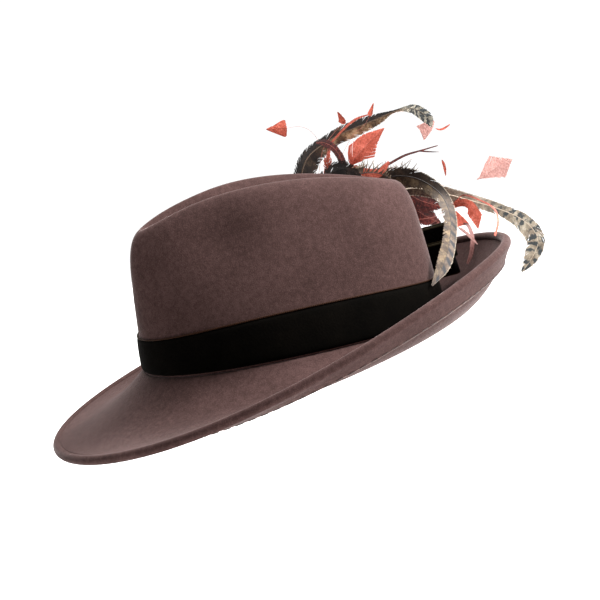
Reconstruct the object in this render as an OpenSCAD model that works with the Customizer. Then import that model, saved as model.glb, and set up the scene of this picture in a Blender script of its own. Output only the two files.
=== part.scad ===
// Felt fedora with a velvet band, a side bow and a spray of pheasant and clipped coral feathers.
// Frame: origin at the centre of the head opening on the headline, +Z up through the crown,
// -Y towards the front of the brim, +X towards the wearer's left. Units are millimetres.

/* [Head opening] */
// Half length of the felt at the headline, front to back
head_half_length = 101; // [99:0.5:104]
// Half width of the felt at the headline, side to side
head_half_width = 83; // [81:0.5:86]
// How far the headline rises at the two sides
headline_rise = 3.6; // [0:0.2:6]
// Thickness of the felt body
felt = 2; // [1.6:0.1:2.4]

/* [Crown] */
// Height of the crown's ridge above the headline at mid length
ridge_height = 111; // [100:1:120]
// Half length of the ridge oval
ridge_half_length = 95; // [90:1:98]
// Half width of the ridge oval
ridge_half_width = 34.5; // [30:0.5:40]
// Share by which the ridge narrows at the front and widens at the back
ridge_teardrop = 0.24; // [0:0.02:0.4]
// Depth of the centre dent at mid length
dent_depth = 22; // [10:1:28]
// Depth of the two front pinches
pinch_depth = 8; // [0:1:10]
// Share of the wall and of the top that the rounded ridge takes
ridge_rounding = 0.26; // [0.1:0.02:0.3]

/* [Brim] */
// Brim width along the felt at the sides
brim_width = 68.5; // [60:0.5:74]
// Extra brim width at the front, taken off at the back
brim_front_extra = 5.5; // [0:0.5:8]
// Width of the edge that is folded under and stitched
hem_width = 13; // [10:0.5:16]
// Radius of the rolled edge round the wire
roll_radius = 3.2; // [3:0.1:3.6]
// Radius of the brim wire
wire_radius = 0.9; // [0.6:0.1:1]

/* [Band and bow] */
// Height of the velvet band
band_height = 25; // [20:0.5:30]
// Thickness of the velvet band
band_thickness = 1.4; // [1:0.1:2]
// Height of the petersham head ribbon inside the crown
head_ribbon_height = 25; // [20:0.5:30]
// Width of the ribbon that the bow is made from
bow_ribbon = 24; // [18:1:28]

/* [Feathers] */
// Thickness of a pheasant tail feather at its quill
quill_thickness = 1.6; // [1.2:0.1:2]
// Thickness of a clipped coral feather at its quill
stem_thickness = 1; // [0.8:0.1:1.2]

/* [Hidden] */

felt_colour = [0.40, 0.31, 0.30];
velvet_colour = [0.06, 0.05, 0.04];
coral_colour = [0.80, 0.36, 0.29];
pheasant_colour = [0.42, 0.30, 0.22];

// Columns round the hat; every ring uses the same ones, so neighbouring faces lie parallel.
columns = 72;
column_step = 360 / columns;
// Clearance between layers that are sewn together
layer_gap = 0.15;
headline_shift = 5;
ridge_shift = 3;
// Ridge profile from front (-1) to back (+1): slope, hump and curl-up terms
ridge_slope = -4.2;
ridge_hump = -21;
ridge_curl = 4;
wall_bulge = 1.2;
// The crown's felt starts just above the brim's felt.
crown_lift = felt / 2 + 0.25;
pinch_centre = -46;
pinch_half_length = 26;
pinch_level = 0.84;
pinch_half_height = 0.30;
hem_gap = 0.2;
channel_radius = roll_radius - felt;
hem_drop = felt / 2 + hem_gap / 2;

function lerp(a, b, t) = a + (b - a) * t;
function unit(v) = v / norm(v);
function sq(v) = v * v;

// ---------- Crown surface ----------
// a is the angle round the hat: 0 front, 90 wearer's left, 180 back.
function rise(a) = headline_rise * sq(sin(a));
function base_point(a, inset) = [
    (head_half_width - inset) * sin(a) * (1 + 0.02 * cos(a)),
    -(head_half_length - inset) * cos(a) + headline_shift,
    rise(a)];
function ridge_level(y) = let (t = (y - ridge_shift) / ridge_half_length)
    ridge_height + ridge_slope * t + ridge_hump * t * t + ridge_curl * t * t * t;
function ridge_point(a, inset) = let (
    y = -(ridge_half_length - inset) * cos(a) + ridge_shift)
    [(ridge_half_width - inset) * sin(a) * (1 - ridge_teardrop * cos(a)), y, ridge_level(y) - inset];
function pinch(y, level) = pinch_depth * exp(-sq((y - pinch_centre) / pinch_half_length))
    * exp(-sq((level - pinch_level) / pinch_half_height));
// Wall of the crown: t runs from the headline (0) to the ridge (1).
function wall_point(a, t, inset) = let (
    p = lerp(base_point(a, inset) + [0, 0, crown_lift], ridge_point(a, inset), t),
    out = wall_bulge * sin(180 * t),
    press = pinch(p.y, t) * sin(a))
    [p.x + out * sin(a) - press, p.y - out * cos(a), p.z];
// Top of the crown: v runs from the ridge (0) to the floor of the centre dent (1).
function top_point(a, v, inset) = let (
    r = ridge_point(a, inset),
    y = lerp(r.y, -0.62 * ridge_half_length * cos(a) + ridge_shift, v),
    depth = dent_depth * (1 - 0.5 * sq((y - ridge_shift) / ridge_half_length)),
    press = pinch(y, 1) * sin(a) * (1 - v))
    [r.x * (1 - v) - press, y, ridge_level(y) - inset - depth * sq(sin(90 * v))];
// The ridge itself is a parabolic round between wall and top.
function ridge_round(a, u, inset) = let (
    from = wall_point(a, 1 - ridge_rounding, inset),
    to = top_point(a, ridge_rounding, inset),
    peak = ridge_point(a, inset) - [pinch(ridge_point(a, inset).y, 1) * sin(a), 0, 0])
    sq(1 - u) * from + 2 * u * (1 - u) * peak + u * u * to;

wall_rings = [for (i = [0:7]) (1 - ridge_rounding) * i / 7];
round_rings = [for (i = [1:5]) i / 6];
top_rings = [for (i = [0:5]) lerp(ridge_rounding, 1, i / 6)];
crown_rings = len(wall_rings) + len(round_rings) + len(top_rings);
seam_points = columns / 2 + 1;

// One skin of the crown: full rings, then the points along the floor of the dent.
function crown_skin(inset) = concat(
    [for (t = wall_rings) for (i = [0:columns - 1]) wall_point(i * column_step, t, inset)],
    [for (u = round_rings) for (i = [0:columns - 1]) ridge_round(i * column_step, u, inset)],
    [for (v = top_rings) for (i = [0:columns - 1]) top_point(i * column_step, v, inset)],
    [for (i = [0:seam_points - 1]) top_point(i * column_step, 1, inset)]);
skin_size = crown_rings * columns + seam_points;
function seam_index(i) = crown_rings * columns + (i <= columns / 2 ? i : columns - i);
function skin_faces() = concat(
    [for (r = [0:crown_rings - 2]) for (i = [0:columns - 1]) let (
        a = r * columns + i, b = r * columns + (i + 1) % columns)
        each [[a, b + columns, b], [a, a + columns, b + columns]]],
    [for (i = [0:columns - 1]) let (
        a = (crown_rings - 1) * columns + i, b = (crown_rings - 1) * columns + (i + 1) % columns)
        each [[a, seam_index(i + 1), b], [a, seam_index(i), seam_index(i + 1)]]]);
function flip(face) = [face[2], face[1], face[0]];
function shift_face(face, n) = [for (k = face) k + n];
function clean(faces) = [for (f = faces) if (f[0] != f[1] && f[1] != f[2] && f[2] != f[0]) f];

module crown() {
    outer = skin_faces();
    inner = [for (f = outer) shift_face(flip(f), skin_size)];
    lower_edge = [for (i = [0:columns - 1]) let (j = (i + 1) % columns)
        each [[i, j, j + skin_size], [i, j + skin_size, i + skin_size]]];
    color(felt_colour)
        polyhedron(concat(crown_skin(0), crown_skin(felt)), clean(concat(outer, inner, lower_edge)), convexity = 6);
}

// ---------- Rings that run round the hat ----------
// A closed band whose section, a list of points, is given for each column.
module ring_solid(sections) {
    n = len(sections);
    m = len(sections[0]);
    points = [for (s = sections) each s];
    faces = [for (i = [0:n - 1]) for (k = [0:m - 1]) let (
        a = i * m + k, b = i * m + (k + 1) % m,
        c = ((i + 1) % n) * m + (k + 1) % m, d = ((i + 1) % n) * m + k)
        each [[a, b, c], [a, c, d]]];
    polyhedron(points, faces, convexity = 6);
}

// ---------- Brim ----------
function outward(a) = let (t = base_point(a + 0.5, 0) - base_point(a - 0.5, 0)) unit([t.y, -t.x, 0]);
// Slope of the felt where it leaves the crown and at its edge, in degrees, up is positive
function slope_at_crown(a) = -26.5 - 29.5 * cos(a) + 14 * cos(2 * a) + 2 * sin(a);
function slope_at_edge(a) = 35.5 - 40 * cos(a) - 11.5 * cos(2 * a) + 1.2 * cos(3 * a)
    + 12 * sin(a) - 4.5 * sin(2 * a);
function width_at(a) = brim_width + brim_front_extra * cos(a) + 3.5 * sin(a);
function turn_at(a) = let (k = slope_at_edge(a) - slope_at_crown(a)) abs(k) < 0.1 ? 0.1 : k;
function slope_on_brim(a, t) = slope_at_crown(a) + turn_at(a) * t;
// The felt's middle surface: a circular arc in each section; t runs from the crown (0) to the edge (1).
function brim_point(a, t) = let (
    s0 = slope_at_crown(a), k = turn_at(a), r = width_at(a) * 180 / (PI * k))
    base_point(a, 0) + outward(a) * r * (sin(s0 + k * t) - sin(s0))
    + [0, 0, r * (cos(s0) - cos(s0 + k * t))];
function along(a, t) = let (s = slope_on_brim(a, t)) outward(a) * cos(s) + [0, 0, sin(s)];
function upward(a, t) = let (s = slope_on_brim(a, t)) -outward(a) * sin(s) + [0, 0, cos(s)];
function on_brim(a, t, up) = brim_point(a, t) + upward(a, t) * up;
function wire_point(a) = on_brim(a, 1, -hem_drop);
function round_wire(a, r, g) = wire_point(a) + along(a, 1) * r * cos(g) + upward(a, 1) * r * sin(g);
// Share of the brim's width where the folded edge ends, and where the roll begins
function hem_start(a) = 1 - hem_width / width_at(a);
function roll_start(a) = 1 - 5 / width_at(a);

function brim_section(a) = concat(
    [base_point(a, felt) + [0, 0, -felt / 2], base_point(a, felt) + [0, 0, felt / 2 - 0.1]],
    [for (i = [0:8]) on_brim(a, roll_start(a) * i / 8, felt / 2)],
    [for (g = [80, 40, 0, -40, -80]) round_wire(a, roll_radius, g)],
    [on_brim(a, roll_start(a), -1.5 * felt - hem_gap), on_brim(a, hem_start(a), -1.5 * felt - hem_gap)],
    [on_brim(a, hem_start(a), -felt / 2 - hem_gap), on_brim(a, roll_start(a), -felt / 2 - hem_gap)],
    [for (g = [-100, -35, 35, 100]) round_wire(a, channel_radius, g)],
    [for (i = [8:-1:0]) on_brim(a, roll_start(a) * i / 8, -felt / 2)]);

module brim()
    color(felt_colour)
        ring_solid([for (i = [0:columns - 1]) brim_section(i * column_step)]);

module brim_wire()
    color([0.15, 0.15, 0.16])
        ring_solid([for (i = [0:columns - 1])
            [for (k = [0:5]) round_wire(i * column_step, wire_radius, -60 * k)]]);

// A straight rod from p to q
module rod(p, q, r) {
    d = q - p;
    translate(p)
        rotate([0, acos(d.z / norm(d)), atan2(d.y, d.x)])
            cylinder(h = norm(d), r = r, $fn = 16);
}

// Running stitches that hold the folded edge, on the underside of the brim
stitch_count = 120;
stitch_radius = 0.3;
module brim_edge_stitching() {
    step = 360 / stitch_count;
    inset_share = 1.5;
    color([0.62, 0.53, 0.48])
        for (i = [0:stitch_count - 1]) {
            a = i * step;
            b = a + step * 0.6;
            t = hem_start(a) + inset_share / brim_width;
            level = -1.5 * felt - hem_gap - stitch_radius - 0.05;
            rod(on_brim(a, t, level), on_brim(b, t, level), stitch_radius);
        }
}

// ---------- Band, edging and head ribbon ----------
// Share of the wall's height that a distance above its foot stands for
function wall_share(height) = height / (ridge_height - 8);
band_foot = 2.2;
function strip_section(a, low, high, near, thick) = [
    wall_point(a, wall_share(low), near),
    wall_point(a, wall_share(low), near - thick),
    wall_point(a, wall_share((low + high) / 2), near - thick - 0.2),
    wall_point(a, wall_share(high), near - thick),
    wall_point(a, wall_share(high), near),
    wall_point(a, wall_share((low + high) / 2), near)];

module hat_band()
    color(velvet_colour)
        ring_solid([for (i = [0:columns - 1])
            strip_section(i * column_step, band_foot, band_foot + band_height - 1.2, -layer_gap, band_thickness)]);

// Narrow copper-brown edge along the top of the band
module band_edging()
    color([0.30, 0.20, 0.13])
        ring_solid([for (i = [0:columns - 1])
            strip_section(i * column_step, band_foot + band_height - 1.1, band_foot + band_height, -layer_gap, 1)]);

head_ribbon_thickness = 0.8;
// Inset of the head ribbon's inner face; its outer face bulges towards the crown by a fifth of a millimetre.
ribbon_inset = felt + 2 * layer_gap + head_ribbon_thickness + 0.2;
module head_ribbon()
    color([0.12, 0.09, 0.08])
        ring_solid([for (i = [0:columns - 1])
            strip_section(i * column_step, 0.4, head_ribbon_height, ribbon_inset, head_ribbon_thickness)]);

module head_ribbon_stitching() {
    count = 90;
    step = 360 / count;
    inset = ribbon_inset + stitch_radius + layer_gap;
    level = wall_share(3);
    color([0.25, 0.20, 0.18])
        for (i = [0:count - 1])
            rod(wall_point(i * step, level, inset), wall_point((i + 0.55) * step, level, inset), stitch_radius);
}

// ---------- Bow ----------
// The bow sits on the band at the right rear; its own frame has +X along the band towards the back
// of the hat, +Y away from the crown and +Z up the leaning wall.
bow_place = [-58.5, 77.5, 0];
bow_heading = 47;
bow_lean = 10;
ribbon_thickness = 1.6;
loop_radius = 3.4;
knot_length = 13;
knot_inner = 1.9;
knot_depth = 15;
knot_level = 22;
knot_gap = 0.3;
rear_tilt = 8;
rear_loop_start = knot_length / 2 + knot_gap + bow_ribbon / 2 * sin(rear_tilt);
front_loop_start = knot_length / 2 + knot_gap;

// Seen from above, a loop is a long teardrop: two straight runs joined by a round end.
function loop_side(length, radius, root, root_half) = concat(
    [[root, -root_half]],
    [for (i = [0:14]) let (g = -75 + 150 * i / 14)
        [length - loop_radius + radius * cos(g), radius * sin(g)]],
    [[root, root_half]]);
module bow_loop(length, tilt)
    rotate([0, -tilt, 0])
        translate([0, 0, -bow_ribbon / 2])
            linear_extrude(bow_ribbon)
                difference() {
                    polygon(loop_side(length, loop_radius, 0, 1.6));
                    polygon(loop_side(length, loop_radius - ribbon_thickness, 9, 0.3));
                }
module on_bow()
    translate(bow_place)
        rotate([0, 0, bow_heading])
            rotate([bow_lean, 0, 0])
                children();

lower_loop_out = knot_inner + loop_radius;
upper_loop_out = lower_loop_out + 2 * loop_radius + 0.6;
module bow_loop_rear_upper()
    color(velvet_colour)
        on_bow()
            translate([rear_loop_start, upper_loop_out, 31])
                bow_loop(60, rear_tilt);
module bow_loop_rear_lower()
    color(velvet_colour)
        on_bow()
            translate([rear_loop_start, lower_loop_out, 21])
                bow_loop(62, rear_tilt);
module bow_loop_front()
    color(velvet_colour)
        on_bow()
            mirror([1, 0, 0])
                translate([front_loop_start, lower_loop_out, 17])
                    bow_loop(42, 0);
module bow_knot()
    color(velvet_colour)
        on_bow()
            translate([0, knot_inner + knot_depth / 2, knot_level])
                linear_extrude(bow_ribbon + 8, center = true)
                    square([knot_length, knot_depth], center = true);

// Felt disc on the crown just above the band, where every quill is sewn down
mount_angle = 241;
mount_share = 0.43;
mount_radius = 16;
mount_thickness = 2;
mount_centre = wall_point(mount_angle, mount_share, 0);
mount_up = unit(wall_point(mount_angle, mount_share + 0.05, 0) - wall_point(mount_angle, mount_share - 0.05, 0));
mount_back = unit(wall_point(mount_angle - 3, mount_share, 0) - wall_point(mount_angle + 3, mount_share, 0));
mount_out = unit(cross(mount_up, mount_back));
module feather_mount()
    color(felt_colour)
        rod(mount_centre + mount_out * layer_gap, mount_centre + mount_out * (layer_gap + mount_thickness), mount_radius);
// Where a quill ends on the disc: millimetres towards the back and up from its centre, and its half width
quill_clearance = 0.9;
function quill_end(back, up, half) = let (
    p = mount_centre + mount_back * back + mount_up * up
        + mount_out * (layer_gap + mount_thickness + quill_clearance))
    [p.x, p.y, p.z, half, half];

// ---------- Feathers ----------
// Smooth course through a list of control points; each is [x, y, z, half width one side, other side].
function course(p, u) = let (
    last = len(p) - 1,
    i = min(floor(u), last - 1),
    f = u - i,
    p0 = p[max(i - 1, 0)], p1 = p[i], p2 = p[i + 1], p3 = p[min(i + 2, last)])
    0.5 * (2 * p1 + (p2 - p0) * f + (2 * p0 - 5 * p1 + 4 * p2 - p3) * f * f
        + (3 * p1 - p0 - 3 * p2 + p3) * f * f * f);
function place(q) = [q[0], q[1], q[2]];
// Direction that the flat of every vane faces
vane_face = unit([1, -0.1, 0.1]);
least_half_width = 0.5;

// A feather: a quill with a vane on each side, thin at its edges
module feather(p, thickness, steps) {
    last = len(p) - 1;
    count = last * steps;
    stations = [for (i = [0:count]) i / steps];
    sections = [for (u = stations) let (
        q = course(p, u),
        tangent = unit(place(course(p, min(u + 0.05, last))) - place(course(p, max(u - 0.05, 0)))),
        side = unit(cross(vane_face, tangent)),
        normal = cross(tangent, side),
        share = u / last,
        half = lerp(thickness, 0.6, share) / 2)
        [place(q) + side * max(q[3], least_half_width), place(q) + normal * half,
            place(q) - side * max(q[4], least_half_width), place(q) - normal * half]];
    points = [for (s = sections) each s];
    walls = [for (i = [0:count - 1]) for (k = [0:3]) let (
        a = 4 * i + k, b = 4 * i + (k + 1) % 4)
        each [[a, b + 4, b], [a, a + 4, b + 4]]];
    ends = [[0, 1, 2], [0, 2, 3], [4 * count, 4 * count + 2, 4 * count + 1],
        [4 * count, 4 * count + 3, 4 * count + 2]];
    polyhedron(points, concat(walls, ends), convexity = 6);
}
module coral(p) { color(coral_colour) feather(p, stem_thickness, 3); }

// Routes of the feathers, from the quill's end on the mount to the tip; the widths of a clipped
// feather's stem are zero, which leaves the quill itself.
front_route = [quill_end(-8, -6, 0.8), [-72, 46, 72, 4, 4], [-77, 57, 105, 4, 4.5], [-79, 78.5, 117, 4, 5],
    [-78.5, 96, 121.5, 5, 6], [-77, 114, 125, 3.5, 4.2], [-76, 129, 128, 0.9, 0.9], [-76, 142, 127, 3, 3.5],
    [-76, 151, 119, 4, 4], [-76, 153, 112, 0.8, 0.8]];
centre_route = [quill_end(0, -4, 0.8), [-69, 67, 58, 4, 4], [-68, 88, 75, 6.5, 8], [-64, 109, 85, 6.5, 8.5],
    [-52, 126, 82, 5.5, 6.5], [-34, 135, 70, 5, 5.5], [-10, 130, 57, 4.8, 5], [14, 117, 44, 5, 5],
    [34, 103, 34, 5, 5], [48, 87, 24, 0.6, 0.6]];
rear_route = [quill_end(8, -8, 0.8), [-74, 84, 54, 4, 4], [-73, 108, 71, 5, 5], [-69, 126, 74, 5, 5],
    [-66, 140, 70, 5, 5], [-62, 160, 61, 4.5, 4.5], [-57, 187, 47, 4, 4.5], [-55, 203, 35, 5, 7.5],
    [-55, 210, 21, 5.5, 8], [-55, 203, 9, 4.5, 6], [-56, 194, 1, 0.6, 0.6]];
dark_front_route = [quill_end(-9, 12, 0.8), [-57, 50, 78, 3, 3], [-56, 62, 93, 5, 5], [-56, 71, 98, 5.5, 5.5],
    [-56, 80, 97, 5, 5], [-56, 89, 90, 1, 1]];
dark_rear_route = [quill_end(-2, 14, 0.8), [-59, 62, 74, 3, 3], [-58.5, 78, 89, 5, 5], [-58.5, 90, 92, 6, 6],
    [-58.5, 102, 90, 5, 5], [-58.5, 111, 84, 1, 1]];
fan_route = [quill_end(-14, 2, 0), [-88, 38, 66, 0, 0], [-92, 64, 96, 0, 0], [-92, 74, 114, 0, 0],
    [-92, 71, 124, 0, 0], [-92, 64, 129, 0, 0], [-92, 57, 130, 0.6, 0.6], [-92, 54, 130, 6, 6],
    [-92, 39, 132, 0, 0]];
spur_route = [quill_end(-8, 2, 0), [-68, 54, 72, 0, 0], [-72, 64, 96, 0, 0], [-70, 70, 113, 0, 0],
    [-69, 80, 123, 1, 1], [-68, 86, 128, 2.6, 2.6], [-68, 84, 136, 0, 0]];
long_sliver_route = [quill_end(-6, 5.5, 0), [-67, 58, 74, 0, 0], [-73, 69, 98, 0, 0], [-72, 74, 112, 0, 0],
    [-71, 84, 121, 1, 1], [-70, 96, 128, 1, 1], [-69, 108, 130, 0, 0]];
small_arrow_route = [quill_end(-3, 4.5, 0), [-65, 64, 76, 0, 0], [-67, 80, 104, 0, 0], [-66, 92, 119, 0.6, 0.6],
    [-66, 98, 122, 1, 1], [-66, 104, 127, 2.6, 2.6], [-66, 110, 137, 0, 0]];
large_diamond_route = [quill_end(-0.5, 7.5, 0), [-66, 66, 68, 0, 0], [-69, 80, 87, 0.8, 0.8], [-68, 86, 96, 3, 3],
    [-66, 91, 103, 12, 11], [-66, 103, 112, 7, 6], [-66, 115, 119, 0, 0]];
strap_route = [quill_end(-5, 8.5, 0), [-61, 60, 77, 0.6, 0.6], [-62, 74, 90, 1.5, 1.5], [-62, 79, 101, 2.5, 2.5],
    [-62, 76, 111, 2.5, 2.5], [-62, 70, 117, 2.5, 2.5], [-62, 63, 119, 0.6, 0.6]];
tuft_route = [quill_end(-10, 7, 0), [-64, 55, 80, 0, 0], [-66, 69, 96, 1, 1], [-66, 70, 104, 3, 3],
    [-66, 73, 112, 1, 1]];
forked_stem_route = [quill_end(5, 7.5, 0), [-85, 65, 67, 0, 0], [-80, 92, 82, 0, 0], [-71, 106, 90, 0.8, 0.8],
    [-70, 117, 94, 0.9, 0.9], [-70, 128, 97, 0.8, 0.8], [-70, 140, 98, 0.7, 0.7], [-70, 153, 99, 0, 0]];
hooked_stem_route = [quill_end(6.5, 12, 0), [-87, 70, 69, 0, 0], [-84, 96, 77, 0, 0], [-74, 112, 87, 0, 0],
    [-72, 125, 92, 0, 0], [-72, 143, 94, 0, 0], [-72, 153, 91, 0.6, 0.6], [-72, 156, 85, 1, 1],
    [-72, 156, 77, 0, 0]];
arrowhead_route = [quill_end(-13, 6, 0), [-83, 34, 68, 0, 0], [-87, 50, 92, 0, 0], [-86, 70, 108, 0, 0],
    [-85, 96, 118, 0, 0], [-84, 120, 124, 0, 0], [-84, 136, 126, 0, 0], [-84, 148, 122, 0.6, 0.6],
    [-84, 152, 114, 7.5, 7.5], [-84, 149, 103, 0, 0]];
sliver_route = [quill_end(-14, -2, 0), [-87, 32, 64, 0, 0], [-93, 50, 92, 0, 0], [-90, 75, 107, 0, 0],
    [-89, 98, 116, 0, 0], [-88, 121, 121, 0, 0], [-88, 138, 123, 0, 0], [-88, 151, 117, 0, 0],
    [-88, 163, 108, 1, 1], [-88, 172, 110, 0, 0]];
pale_diamond_route = [quill_end(13.8, -7, 0), [-88, 84, 46, 0, 0], [-97, 108, 57, 0, 0], [-97, 130, 66, 0, 0],
    [-92, 150, 70, 0, 0], [-86, 168, 67, 0, 0], [-84, 183, 68, 0.6, 0.6], [-84, 198, 73, 9.5, 9.5],
    [-84, 213, 77, 0, 0]];
under_leaf_route = [quill_end(2.5, 13, 0), [-62, 70, 80, 0.6, 0.6], [-61.5, 84, 96, 2, 2],
    [-60.5, 91, 93, 3, 3], [-60.5, 103, 90, 3, 3], [-60.5, 112, 96, 0.8, 0.8]];
low_leaf_upper_route = [quill_end(12, 0.5, 0), [-80, 78, 60, 0, 0], [-86, 102, 74, 1, 1], [-84, 124, 73, 6, 6],
    [-84, 139, 62, 6, 6], [-84, 155, 54, 0, 0]];
low_leaf_lower_route = [quill_end(9, -11.5, 0), [-84, 82, 40, 0, 0], [-90, 104, 54, 1, 1], [-88, 126, 62, 6, 6],
    [-88, 141, 51, 6, 6], [-88, 153, 42, 0, 0]];
triangle_route = [quill_end(3, -11, 0), [-86, 90, 36, 0, 0], [-83, 118, 40, 0, 0], [-73, 136, 45, 0, 0],
    [-66, 145, 49, 0.8, 0.8], [-66, 155, 46, 5.5, 5.5], [-66, 165, 41, 0, 0]];
rear_arrow_route = [quill_end(6.5, -13, 0), [-79, 92, 34, 0, 0], [-77, 120, 38, 0, 0], [-64, 138, 45, 0, 0],
    [-54, 147, 56, 0.8, 0.8], [-48, 156, 59, 4, 4], [-46, 162, 53, 8, 8], [-46, 163, 39, 0, 0]];
strand_route = [quill_end(6.5, -9.5, 0), [-84, 92, 42, 0, 0], [-80, 122, 50, 0, 0], [-68, 142, 51, 0, 0],
    [-54, 153, 60, 0, 0], [-40, 154, 65, 1, 1], [-20, 157, 62, 1.4, 1.4], [0, 158, 57, 1.4, 1.4],
    [15, 153, 50, 1, 1], [25, 145, 43, 0, 0]];
drooping_strip_route = [quill_end(3.5, -14.3, 0), [-79, 94, 30, 0, 0], [-70, 122, 34, 0, 0], [-52, 139, 42, 0, 0],
    [-30, 147, 47, 1, 1], [-18, 146, 43, 1.8, 1.8], [-10, 143, 38, 1.8, 1.8], [-6, 139, 30, 1.5, 1.5],
    [-4, 134, 24, 0, 0]];
white_sliver_route = [quill_end(11.2, -9.2, 0), [-78, 94, 41, 0, 0], [-63, 124, 43, 0, 0], [-44, 137, 47, 0, 0],
    [-22, 137, 48, 0.6, 0.6], [-10, 139, 44, 1, 1], [0, 142, 36, 0, 0]];

module pheasant(p) { color(pheasant_colour) feather(p, quill_thickness, 5); }
module dark(p) { color([0.08, 0.06, 0.05]) feather(p, 1.2, 4); }

module pheasant_feather_front() { pheasant(front_route); }
module pheasant_feather_centre() { pheasant(centre_route); }
module pheasant_feather_rear() { pheasant(rear_route); }
module dark_feather_front() { dark(dark_front_route); }
module dark_feather_rear() { dark(dark_rear_route); }
module coral_fan() { coral(fan_route); }
module coral_spur() { coral(spur_route); }
module coral_long_sliver() { coral(long_sliver_route); }
module coral_small_arrow() { coral(small_arrow_route); }
module coral_large_diamond() { coral(large_diamond_route); }
module coral_strap() { coral(strap_route); }
module coral_tuft() { coral(tuft_route); }
module coral_forked_stem() { coral(forked_stem_route); }
module coral_hooked_stem() { coral(hooked_stem_route); }
module coral_arrowhead() { coral(arrowhead_route); }
module coral_sliver() { coral(sliver_route); }
module coral_pale_diamond() { coral(pale_diamond_route); }
module coral_under_leaf() { coral(under_leaf_route); }
module coral_low_leaf_upper() { coral(low_leaf_upper_route); }
module coral_low_leaf_lower() { coral(low_leaf_lower_route); }
module coral_triangle() { coral(triangle_route); }
module coral_rear_arrow() { coral(rear_arrow_route); }
module coral_strand() { coral(strand_route); }
module coral_drooping_strip() { coral(drooping_strip_route); }
module coral_white_sliver() { coral(white_sliver_route); }

crown();
brim();
brim_wire();
brim_edge_stitching();
hat_band();
band_edging();
head_ribbon();
head_ribbon_stitching();
bow_loop_rear_upper();
bow_loop_rear_lower();
bow_loop_front();
bow_knot();
feather_mount();
pheasant_feather_front();
pheasant_feather_centre();
pheasant_feather_rear();
dark_feather_front();
dark_feather_rear();
coral_fan();
coral_spur();
coral_long_sliver();
coral_small_arrow();
coral_large_diamond();
coral_strap();
coral_tuft();
coral_forked_stem();
coral_hooked_stem();
coral_arrowhead();
coral_sliver();
coral_pale_diamond();
coral_under_leaf();
coral_low_leaf_upper();
coral_low_leaf_lower();
coral_triangle();
coral_rear_arrow();
coral_strand();
coral_drooping_strip();
coral_white_sliver();
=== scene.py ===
"""Looks of the felt fedora: its felt, velvet band and bow, and its feathers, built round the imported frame.

Shapes are worked out in millimetres in the hat's own frame, with the same formulas and driving
dimensions as the CAD design, and turned into metres when a mesh is made.
"""
import math

import bmesh
import bpy
import numpy as np
from mathutils import Matrix, Vector


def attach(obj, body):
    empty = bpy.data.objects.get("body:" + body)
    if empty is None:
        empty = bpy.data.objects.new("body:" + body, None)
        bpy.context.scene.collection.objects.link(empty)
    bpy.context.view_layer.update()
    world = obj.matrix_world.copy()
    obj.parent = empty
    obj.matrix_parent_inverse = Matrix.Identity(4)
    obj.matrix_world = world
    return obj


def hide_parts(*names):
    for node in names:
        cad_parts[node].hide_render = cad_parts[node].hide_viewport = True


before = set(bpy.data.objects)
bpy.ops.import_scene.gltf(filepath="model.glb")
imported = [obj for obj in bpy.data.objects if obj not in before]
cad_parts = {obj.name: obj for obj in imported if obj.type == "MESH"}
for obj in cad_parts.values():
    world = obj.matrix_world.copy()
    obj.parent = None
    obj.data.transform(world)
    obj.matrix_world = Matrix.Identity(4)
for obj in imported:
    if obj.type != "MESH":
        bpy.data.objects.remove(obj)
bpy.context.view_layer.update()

MM = 0.001

# ---------- Camera ----------
# The hat is seen from the wearer's left, a little from the front and from above, and the camera rolls.
VIEW_FORWARD = math.radians(17.08)
VIEW_HEIGHT = math.radians(9.0)
VIEW_ROLL = math.radians(10.15)
VIEW_DISTANCE = 1.4
VIEW_RIGHT_OF_ORIGIN = 0.00756
VIEW_ABOVE_ORIGIN = 0.0281
LENS_MM = 128.85
SENSOR_MM = 36.0


def make_camera():
    back = Vector((
        math.cos(VIEW_HEIGHT) * math.cos(VIEW_FORWARD),
        -math.cos(VIEW_HEIGHT) * math.sin(VIEW_FORWARD),
        math.sin(VIEW_HEIGHT),
    ))
    level_right = Vector((0, 0, 1)).cross(back).normalized()
    level_up = back.cross(level_right)
    right = math.cos(VIEW_ROLL) * level_right - math.sin(VIEW_ROLL) * level_up
    up = math.sin(VIEW_ROLL) * level_right + math.cos(VIEW_ROLL) * level_up
    target = right * VIEW_RIGHT_OF_ORIGIN + up * VIEW_ABOVE_ORIGIN
    data = bpy.data.cameras.new("camera")
    data.lens = LENS_MM
    data.sensor_width = SENSOR_MM
    data.clip_start = 0.05
    data.clip_end = 50
    camera = bpy.data.objects.new("camera", data)
    bpy.context.collection.objects.link(camera)
    turn = Matrix((right, up, back)).transposed().to_4x4()
    camera.matrix_world = Matrix.Translation(target + back * VIEW_DISTANCE) @ turn
    bpy.context.scene.camera = camera


make_camera()

# ---------- Design dimensions, in millimetres ----------
HEAD_HALF_LENGTH, HEAD_HALF_WIDTH, HEADLINE_RISE, FELT = 101, 83, 3.6, 2
RIDGE_HEIGHT, RIDGE_HALF_LENGTH, RIDGE_HALF_WIDTH, RIDGE_TEARDROP = 111, 95, 34.5, 0.24
DENT_DEPTH, PINCH_DEPTH, RIDGE_ROUNDING = 22, 8, 0.26
BRIM_WIDTH, BRIM_FRONT_EXTRA, HEM_WIDTH, ROLL_RADIUS = 68.5, 5.5, 13, 3.2
BAND_HEIGHT, BAND_THICKNESS, HEAD_RIBBON_HEIGHT, BOW_RIBBON = 25, 1.4, 25, 24
LAYER_GAP = 0.15
HEADLINE_SHIFT, RIDGE_SHIFT = 5, 3
RIDGE_SLOPE, RIDGE_HUMP, RIDGE_CURL = -4.2, -21, 4
WALL_BULGE = 1.2
CROWN_LIFT = FELT / 2 + 0.25
PINCH_CENTRE, PINCH_HALF_LENGTH, PINCH_LEVEL, PINCH_HALF_HEIGHT = -46, 26, 0.84, 0.30
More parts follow.
